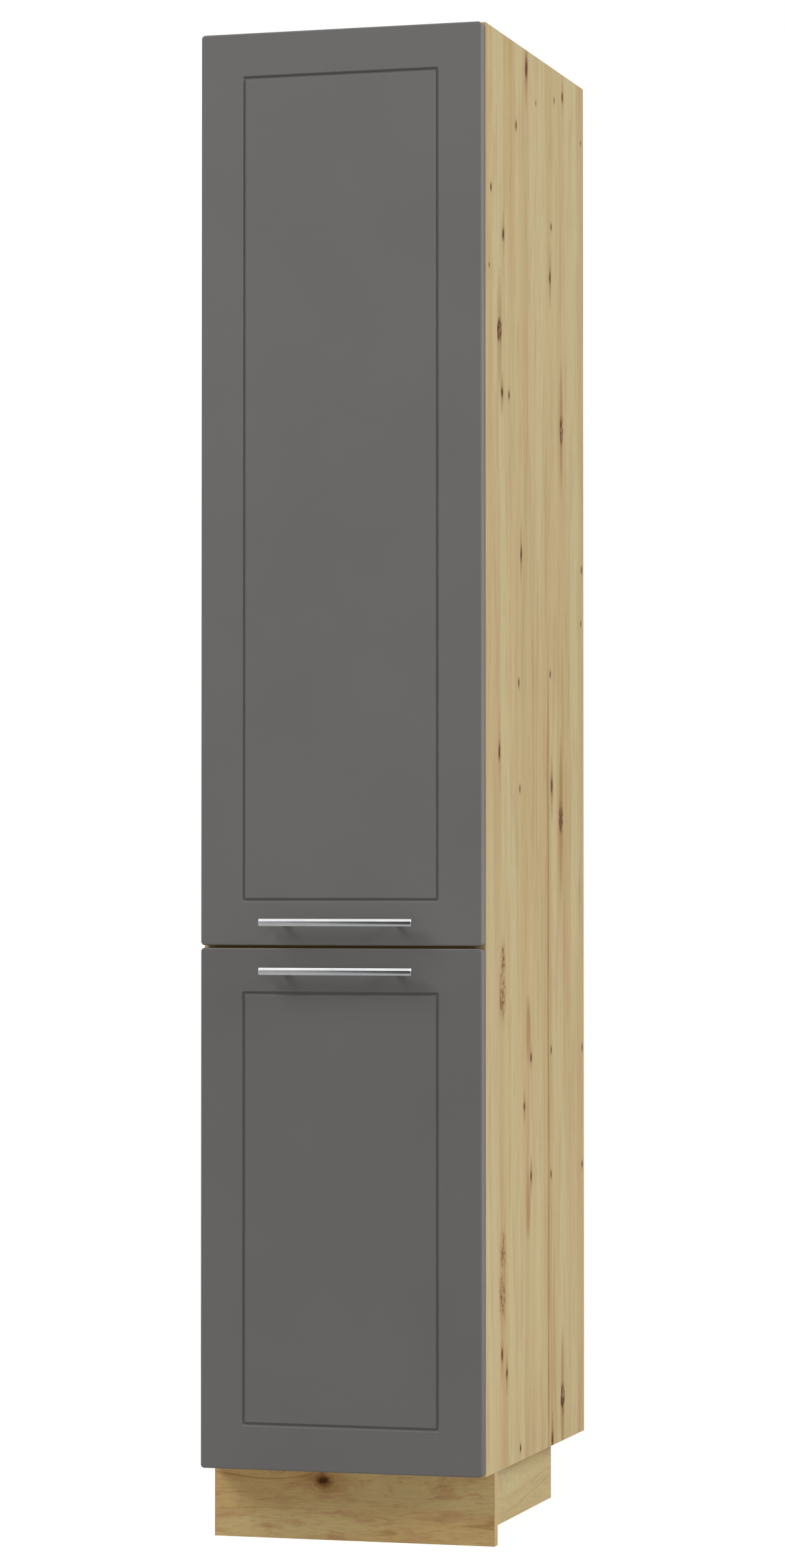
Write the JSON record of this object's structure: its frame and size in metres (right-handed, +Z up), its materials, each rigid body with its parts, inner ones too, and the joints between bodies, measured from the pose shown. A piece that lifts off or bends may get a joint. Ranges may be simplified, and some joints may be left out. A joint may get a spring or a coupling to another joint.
{
  "type": "pull-out larder unit",
  "caption": "Tall kitchen cabinet with stacked pull-out fronts, each carrying wire baskets on a steel frame that runs on a ball-bearing runner; levelling feet behind a plinth.",
  "frame": {"origin": "on the floor, in the middle of the outline of the whole unit, handles included", "axes": "+X to the right when facing the fronts, +Y towards the wall behind the unit, +Z up"},
  "size_m": [0.4, 0.608, 2.07],
  "materials": {
    "oak_decor": "oak-grain melamine foil on chipboard, matt, with a matching edge band",
    "grey_front": "matt mid-grey foil pressed over MDF, with a routed frame line",
    "back_sheet": "white lacquered thin fibreboard",
    "chrome": "polished chrome plate",
    "zinc_steel": "zinc-plated rolled steel",
    "silver_paint": "silver-grey powder coat on steel tube",
    "black_plastic": "black moulded plastic, matt",
    "white_nylon": "off-white nylon"
  },
  "bodies": {
    "carcass": {"side_panel_left": "oak_decor", "side_panel_right": "oak_decor", "bottom_panel": "oak_decor", "top_panel": "oak_decor", "middle_shelf": "oak_decor", "back_panel": "back_sheet", "wall_bracket_left": "zinc_steel", "wall_bracket_right": "zinc_steel", "plinth_front": "oak_decor", "plinth_side_left": "oak_decor", "plinth_side_right": "oak_decor", "plinth_clip_front_left": "black_plastic", "plinth_clip_front_right": "black_plastic", "plinth_clip_side_left": "black_plastic", "plinth_clip_side_right": "black_plastic", "foot_socket_front_left": "black_plastic", "foot_socket_front_right": "black_plastic", "foot_socket_rear_left": "black_plastic", "foot_socket_rear_right": "black_plastic", "lower_cabinet_rail": "zinc_steel", "lower_top_guide": "zinc_steel", "upper_cabinet_rail": "zinc_steel", "upper_top_guide": "zinc_steel"},
    "foot_front_left": {"foot_base_front_left": "black_plastic"},
    "foot_front_right": {"foot_base_front_right": "black_plastic"},
    "foot_rear_left": {"foot_base_rear_left": "black_plastic"},
    "foot_rear_right": {"foot_base_rear_right": "black_plastic"},
    "lower_pullout": {"lower_frame_rail": "zinc_steel", "lower_bottom_bar": "silver_paint", "lower_top_bar": "silver_paint", "lower_front_upright": "silver_paint", "lower_rear_upright": "silver_paint", "lower_front_carrier": "zinc_steel", "lower_basket_bottom": "chrome", "lower_basket_top": "chrome", "lower_front": "grey_front", "lower_handle_bar": "chrome", "lower_handle_post_left": "chrome", "lower_handle_post_right": "chrome"},
    "lower_middle_slide": {"lower_middle_rail": "zinc_steel"},
    "lower_outer_cage": {"lower_ball_cage_outer": "white_nylon"},
    "lower_inner_cage": {"lower_ball_cage_inner": "white_nylon"},
    "lower_roller": {"lower_guide_roller": "white_nylon"},
    "upper_pullout": {"upper_frame_rail": "zinc_steel", "upper_bottom_bar": "silver_paint", "upper_top_bar": "silver_paint", "upper_front_upright": "silver_paint", "upper_rear_upright": "silver_paint", "upper_front_carrier": "zinc_steel", "upper_basket_bottom": "chrome", "upper_basket_middle": "chrome", "upper_basket_top": "chrome", "upper_front": "grey_front", "upper_handle_bar": "chrome", "upper_handle_post_left": "chrome", "upper_handle_post_right": "chrome"},
    "upper_middle_slide": {"upper_middle_rail": "zinc_steel"},
    "upper_outer_cage": {"upper_ball_cage_outer": "white_nylon"},
    "upper_inner_cage": {"upper_ball_cage_inner": "white_nylon"},
    "upper_roller": {"upper_guide_roller": "white_nylon"}
  },
  "joints": [
    {"name": "lower_pull", "type": "slide", "parent": "carcass", "child": "lower_pullout", "axis": [0, -1, 0], "range_m": [0, 0.46]},
    {"name": "upper_pull", "type": "slide", "parent": "carcass", "child": "upper_pullout", "axis": [0, -1, 0], "range_m": [0, 0.46]},
    {"name": "foot_front_left_screw", "type": "slide", "parent": "carcass", "child": "foot_front_left", "axis": [0, 0, -1], "range_m": [0, 0.015]},
    {"name": "foot_front_right_screw", "type": "slide", "parent": "carcass", "child": "foot_front_right", "axis": [0, 0, -1], "range_m": [0, 0.015]},
    {"name": "foot_rear_left_screw", "type": "slide", "parent": "carcass", "child": "foot_rear_left", "axis": [0, 0, -1], "range_m": [0, 0.015]},
    {"name": "foot_rear_right_screw", "type": "slide", "parent": "carcass", "child": "foot_rear_right", "axis": [0, 0, -1], "range_m": [0, 0.015]},
    {"name": "lower_middle_rail_slide", "type": "slide", "parent": "carcass", "child": "lower_middle_slide", "axis": [0, -1, 0], "range_m": [0, 0.23]},
    {"name": "lower_outer_cage_slide", "type": "slide", "parent": "carcass", "child": "lower_outer_cage", "axis": [0, -1, 0], "range_m": [0, 0.115]},
    {"name": "lower_inner_cage_slide", "type": "slide", "parent": "carcass", "child": "lower_inner_cage", "axis": [0, -1, 0], "range_m": [0, 0.345]},
    {"name": "lower_roller_spin", "type": "hinge", "parent": "lower_pullout", "child": "lower_roller", "pos_m": [0, 0.234, 0.797], "axis": [0, 0, 1], "range_deg": [0, 2640]},
    {"name": "upper_middle_rail_slide", "type": "slide", "parent": "carcass", "child": "upper_middle_slide", "axis": [0, -1, 0], "range_m": [0, 0.23]},
    {"name": "upper_outer_cage_slide", "type": "slide", "parent": "carcass", "child": "upper_outer_cage", "axis": [0, -1, 0], "range_m": [0, 0.115]},
    {"name": "upper_inner_cage_slide", "type": "slide", "parent": "carcass", "child": "upper_inner_cage", "axis": [0, -1, 0], "range_m": [0, 0.345]},
    {"name": "upper_roller_spin", "type": "hinge", "parent": "upper_pullout", "child": "upper_roller", "pos_m": [0, 0.234, 2.045], "axis": [0, 0, 1], "range_deg": [0, 2640]}
  ],
  "couplings": [
    {"joint": "lower_middle_rail_slide", "follows": "lower_pull", "ratio": 0.5},
    {"joint": "lower_outer_cage_slide", "follows": "lower_pull", "ratio": 0.25},
    {"joint": "lower_inner_cage_slide", "follows": "lower_pull", "ratio": 0.75},
    {"joint": "lower_roller_spin", "follows": "lower_pull", "rad_per_m": 100},
    {"joint": "upper_middle_rail_slide", "follows": "upper_pull", "ratio": 0.5},
    {"joint": "upper_outer_cage_slide", "follows": "upper_pull", "ratio": 0.25},
    {"joint": "upper_inner_cage_slide", "follows": "upper_pull", "ratio": 0.75},
    {"joint": "upper_roller_spin", "follows": "upper_pull", "rad_per_m": 100}
  ]
}
